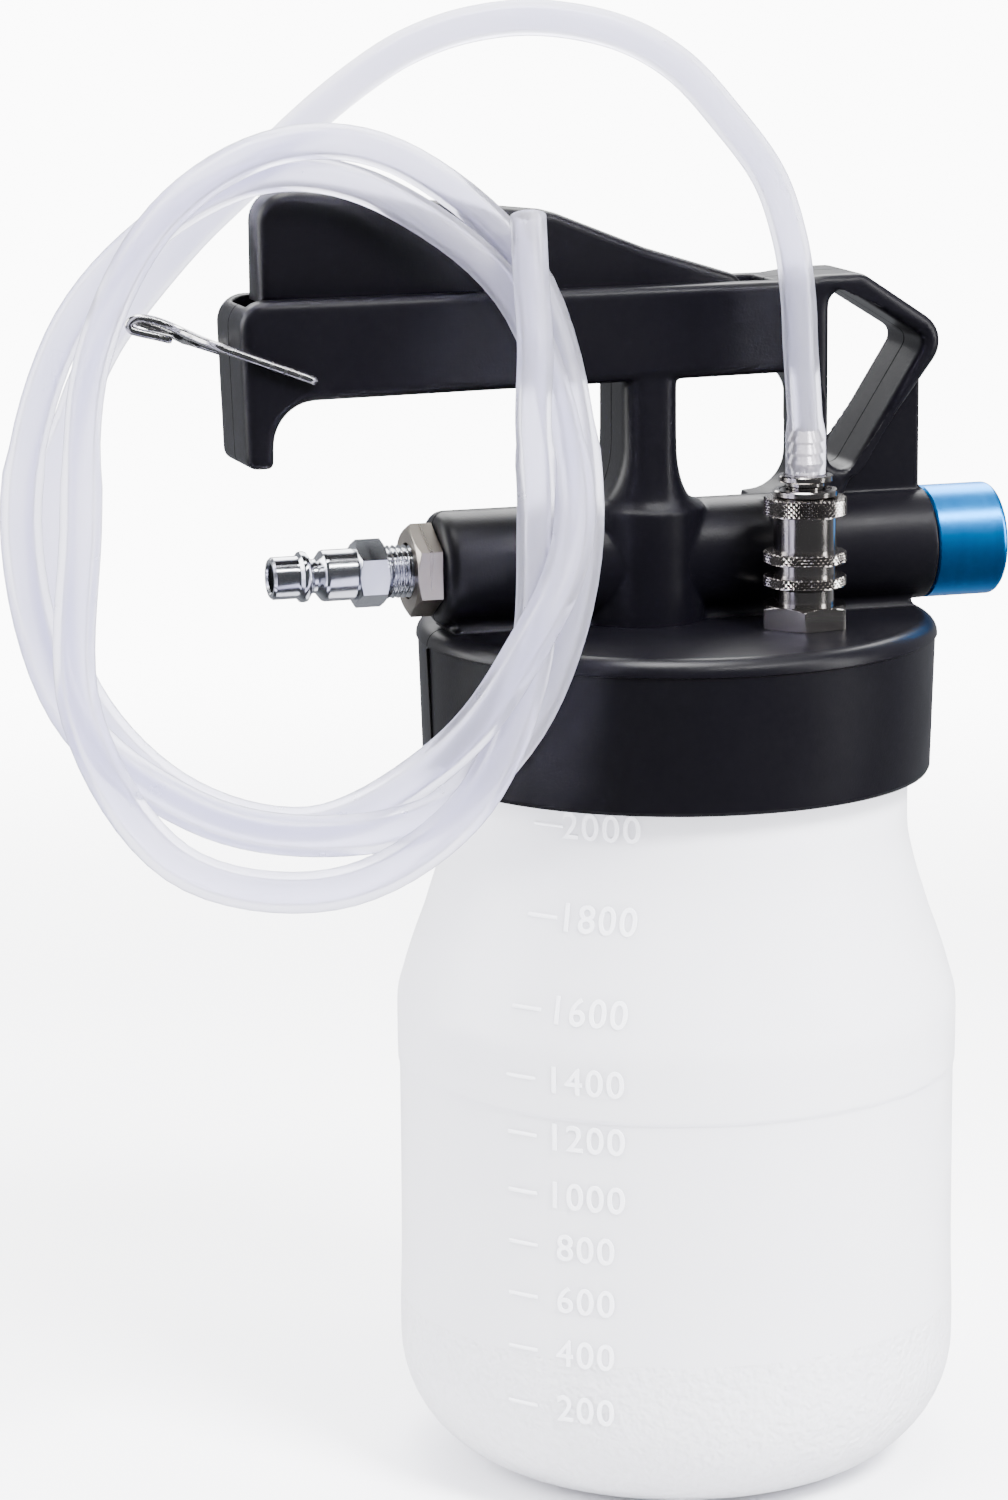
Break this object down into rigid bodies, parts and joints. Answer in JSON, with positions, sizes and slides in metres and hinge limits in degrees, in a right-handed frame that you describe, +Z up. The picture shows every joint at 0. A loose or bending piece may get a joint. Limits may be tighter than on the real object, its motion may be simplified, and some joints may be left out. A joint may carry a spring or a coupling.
{
  "type": "air-driven vacuum bleeder bottle",
  "caption": "Hand-held vacuum fluid extractor: a graduated bottle under a screw head with a trigger handle, air ejector, silencer and coiled suction hose.",
  "frame": {"origin": "centre of the bottle's flat base, on the surface it stands on", "axes": "+Z up the bottle's axis; +X along the ejector housing to the silencer, away from the air inlet; -Y is the side with the hose coupler"},
  "size_m": [0.2535, 0.1404, 0.3673],
  "materials": {
    "bottle_plastic": "translucent natural polyethylene, satin",
    "seal_rubber": "matt black nitrile",
    "head_plastic": "black glass-filled nylon, satin moulding texture",
    "lever_plastic": "black nylon, fine matt texture",
    "plated_steel": "bright nickel plate",
    "spring_steel": "drawn wire, bright",
    "bushing_metal": "dull turned hexagon",
    "brass": "turned brass",
    "blue_anodised": "blue anodised, fine turned lines",
    "silencer_felt": "pressed felt",
    "tube_plastic": "natural polyethylene",
    "cage_plastic": "black moulding",
    "float_plastic": "white polypropylene",
    "hose_silicone": "clear milky flexible hose"
  },
  "bodies": {
    "bottle": {"bottle": "bottle_plastic"},
    "gasket": {"lid_gasket": "seal_rubber"},
    "head": {"head_body": "head_plastic", "inlet_bushing": "bushing_metal", "inlet_nipple": "plated_steel", "ejector_nozzle": "brass", "nozzle_oring": "seal_rubber", "diffuser": "brass", "muffler_shell": "blue_anodised", "silencer_core": "silencer_felt", "muffler_disc": "blue_anodised", "stem_guide": "brass", "stem_oring": "seal_rubber", "valve_seat": "brass", "valve_spring": "spring_steel", "valve_plug": "head_plastic", "coupler_body": "plated_steel", "lock_ball_1": "plated_steel", "lock_ball_2": "plated_steel", "lock_ball_3": "plated_steel", "lock_ball_4": "plated_steel", "sleeve_spring": "spring_steel", "retaining_ring": "plated_steel", "coupler_washer": "seal_rubber", "coupler_locknut": "plated_steel", "hose_plug": "plated_steel", "plug_oring": "seal_rubber", "fill_tube": "tube_plastic", "float_cage": "cage_plastic", "lever_pin": "spring_steel", "hose_tube": "hose_silicone", "hose_coil": "hose_silicone"},
    "lever": {"lever": "lever_plastic"},
    "push_rod": {"valve_stem": "spring_steel", "poppet_seal": "seal_rubber", "valve_poppet": "brass"},
    "lock_wire": {"lock_wire": "spring_steel"},
    "sleeve": {"coupler_sleeve": "plated_steel"},
    "float": {"float_ball": "float_plastic"}
  },
  "joints": [
    {"name": "lid_lift", "type": "slide", "parent": "bottle", "child": "gasket", "axis": [0, 0, 1], "range_m": [0, 0.0091]},
    {"name": "lid_turn", "type": "hinge", "parent": "gasket", "child": "head", "pos_m": [0, 0, 0.2], "axis": [0, 0, 1], "range_deg": [0, 270]},
    {"name": "lever_press", "type": "hinge", "parent": "head", "child": "lever", "pos_m": [0.0135, 0, 0.289], "axis": [0, -1, 0], "range_deg": [0, 8], "stiffness_Nm_per_rad": 0.6, "springref_deg": -11.46},
    {"name": "stem_slide", "type": "slide", "parent": "head", "child": "push_rod", "axis": [0, 0, -1], "range_m": [0, 0.0034], "deforming": ["valve_spring"]},
    {"name": "lock_swing", "type": "hinge", "parent": "head", "child": "lock_wire", "pos_m": [-0.0958, 0, 0.2792], "axis": [0, 1, 0], "range_deg": [-50, 38]},
    {"name": "sleeve_slide", "type": "slide", "parent": "head", "child": "sleeve", "axis": [0, 0, -1], "range_m": [0, 0.0035], "stiffness_N_per_m": 400, "springref_m": -0.004, "deforming": ["sleeve_spring"]},
    {"name": "float_lift", "type": "slide", "parent": "head", "child": "float", "axis": [0, 0, 1], "range_m": [0, 0.0072]}
  ],
  "couplings": [
    {"joint": "lid_lift", "follows": "lid_turn", "m_per_rad": 0.0019099},
    {"joint": "stem_slide", "follows": "lever_press", "m_per_rad": 0.0235}
  ]
}
